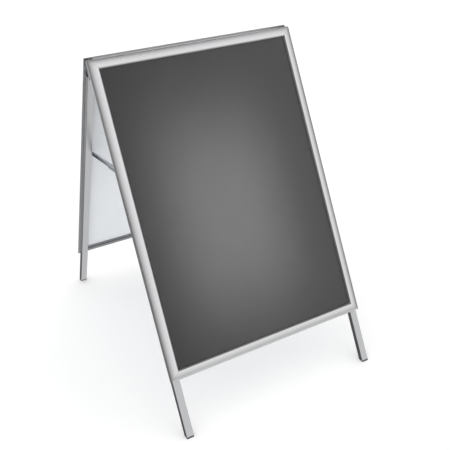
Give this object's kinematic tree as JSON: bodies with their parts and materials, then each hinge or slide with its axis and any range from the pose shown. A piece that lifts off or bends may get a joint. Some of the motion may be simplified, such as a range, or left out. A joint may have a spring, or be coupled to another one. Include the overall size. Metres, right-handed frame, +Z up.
{
  "type": "sandwich board",
  "caption": "Folding two-sided pavement sign: two snap-frame poster boards on tube legs, hinged at the top and held open by folding side stays.",
  "frame": {"origin": "on the ground, midway between the four feet", "axes": "+X to the right seen from the front, -Y out of the front board, +Z up"},
  "size_m": [0.649, 0.9662, 0.9797],
  "materials": {
    "rail": "satin silver anodised extrusion",
    "cover": "satin silver anodised extrusion",
    "leg": "satin silver anodised tube",
    "panel": "pale blue-grey plastic sheet",
    "poster": "dark grey printed card with a soft lighter centre",
    "sheet": "clear anti-glare sheet",
    "steel": "bright zinc-plated steel",
    "plastic": "black moulded nylon",
    "rubber": "dark grey moulded foot"
  },
  "bodies": {
    "front_board": {"front_top_rail": "rail", "front_top_spring": "steel", "front_bottom_rail": "rail", "front_bottom_spring": "steel", "front_left_rail": "rail", "front_left_spring": "steel", "front_right_rail": "rail", "front_right_spring": "steel", "front_back_panel": "panel", "front_poster": "poster", "front_clear_sheet": "sheet", "front_left_leg": "leg", "front_left_foot": "rubber", "front_left_hinge_bracket": "steel", "front_right_leg": "leg", "front_right_foot": "rubber", "front_right_hinge_bracket": "steel", "left_hinge_pin": "steel", "left_stay_front_rivet": "steel", "right_hinge_pin": "steel", "right_stay_front_rivet": "steel"},
    "rear_board": {"rear_top_rail": "rail", "rear_top_spring": "steel", "rear_bottom_rail": "rail", "rear_bottom_spring": "steel", "rear_left_rail": "rail", "rear_left_spring": "steel", "rear_right_rail": "rail", "rear_right_spring": "steel", "rear_back_panel": "panel", "rear_poster": "poster", "rear_clear_sheet": "sheet", "rear_left_leg": "leg", "rear_left_foot": "rubber", "rear_left_hinge_bracket": "steel", "rear_right_leg": "leg", "rear_right_foot": "rubber", "rear_right_hinge_bracket": "steel", "left_hinge_cap": "plastic", "left_stay_rear_rivet": "steel", "right_hinge_cap": "plastic", "right_stay_rear_rivet": "steel"},
    "front_top_snap_cover": {"front_top_snap_cover": "cover"},
    "front_bottom_snap_cover": {"front_bottom_snap_cover": "cover"},
    "front_left_snap_cover": {"front_left_snap_cover": "cover"},
    "front_right_snap_cover": {"front_right_snap_cover": "cover"},
    "rear_top_snap_cover": {"rear_top_snap_cover": "cover"},
    "rear_bottom_snap_cover": {"rear_bottom_snap_cover": "cover"},
    "rear_left_snap_cover": {"rear_left_snap_cover": "cover"},
    "rear_right_snap_cover": {"rear_right_snap_cover": "cover"},
    "left_channel_arm": {"left_stay_channel_arm": "steel", "left_stay_knee_block": "plastic"},
    "left_flat_arm": {"left_stay_flat_arm": "steel"},
    "right_channel_arm": {"right_stay_channel_arm": "steel", "right_stay_knee_block": "plastic"},
    "right_flat_arm": {"right_stay_flat_arm": "steel"}
  },
  "joints": [
    {"name": "board_hinge", "type": "hinge", "parent": "front_board", "child": "rear_board", "pos_m": [0, 0, 0.925], "axis": [-1, 0, 0], "range_deg": [0, 52]},
    {"name": "front_top_cover_hinge", "type": "hinge", "parent": "front_board", "child": "front_top_snap_cover", "pos_m": [0, -0.00785, 0.97779], "axis": [-1, 0, 0], "range_deg": [0, 90]},
    {"name": "front_bottom_cover_hinge", "type": "hinge", "parent": "front_board", "child": "front_bottom_snap_cover", "pos_m": [0, -0.41072, 0.15179], "axis": [1, 0, 0], "range_deg": [0, 90]},
    {"name": "front_left_cover_hinge", "type": "hinge", "parent": "front_board", "child": "front_left_snap_cover", "pos_m": [-0.3245, -0.20929, 0.56479], "axis": [0, -0.4384, -0.8988], "range_deg": [0, 90]},
    {"name": "front_right_cover_hinge", "type": "hinge", "parent": "front_board", "child": "front_right_snap_cover", "pos_m": [0.3245, -0.20929, 0.56479], "axis": [0, 0.4384, 0.8988], "range_deg": [0, 90]},
    {"name": "rear_top_cover_hinge", "type": "hinge", "parent": "rear_board", "child": "rear_top_snap_cover", "pos_m": [0, 0.00785, 0.97779], "axis": [1, 0, 0], "range_deg": [0, 90]},
    {"name": "rear_bottom_cover_hinge", "type": "hinge", "parent": "rear_board", "child": "rear_bottom_snap_cover", "pos_m": [0, 0.41072, 0.15179], "axis": [-1, 0, 0], "range_deg": [0, 90]},
    {"name": "rear_left_cover_hinge", "type": "hinge", "parent": "rear_board", "child": "rear_left_snap_cover", "pos_m": [-0.3245, 0.20929, 0.56479], "axis": [0, -0.4384, 0.8988], "range_deg": [0, 90]},
    {"name": "rear_right_cover_hinge", "type": "hinge", "parent": "rear_board", "child": "rear_right_snap_cover", "pos_m": [0.3245, 0.20929, 0.56479], "axis": [0, 0.4384, -0.8988], "range_deg": [0, 90]},
    {"name": "left_stay_rear_pivot", "type": "hinge", "parent": "rear_board", "child": "left_channel_arm", "pos_m": [0, 0.16544, 0.63074], "axis": [-1, 0, 0], "range_deg": [0, 50]},
    {"name": "left_stay_front_pivot", "type": "hinge", "parent": "front_board", "child": "left_flat_arm", "pos_m": [0, -0.14615, 0.67029], "axis": [1, 0, 0], "range_deg": [0, 63.44]},
    {"name": "right_stay_rear_pivot", "type": "hinge", "parent": "rear_board", "child": "right_channel_arm", "pos_m": [0, 0.16544, 0.63074], "axis": [-1, 0, 0], "range_deg": [0, 50]},
    {"name": "right_stay_front_pivot", "type": "hinge", "parent": "front_board", "child": "right_flat_arm", "pos_m": [0, -0.14615, 0.67029], "axis": [1, 0, 0], "range_deg": [0, 63.44]}
  ],
  "couplings": [
    {"joint": "left_stay_rear_pivot", "follows": "board_hinge", "ratio": 0.96156},
    {"joint": "left_stay_front_pivot", "follows": "board_hinge", "ratio": 1.22},
    {"joint": "right_stay_rear_pivot", "follows": "board_hinge", "ratio": 0.96156},
    {"joint": "right_stay_front_pivot", "follows": "board_hinge", "ratio": 1.22}
  ]
}
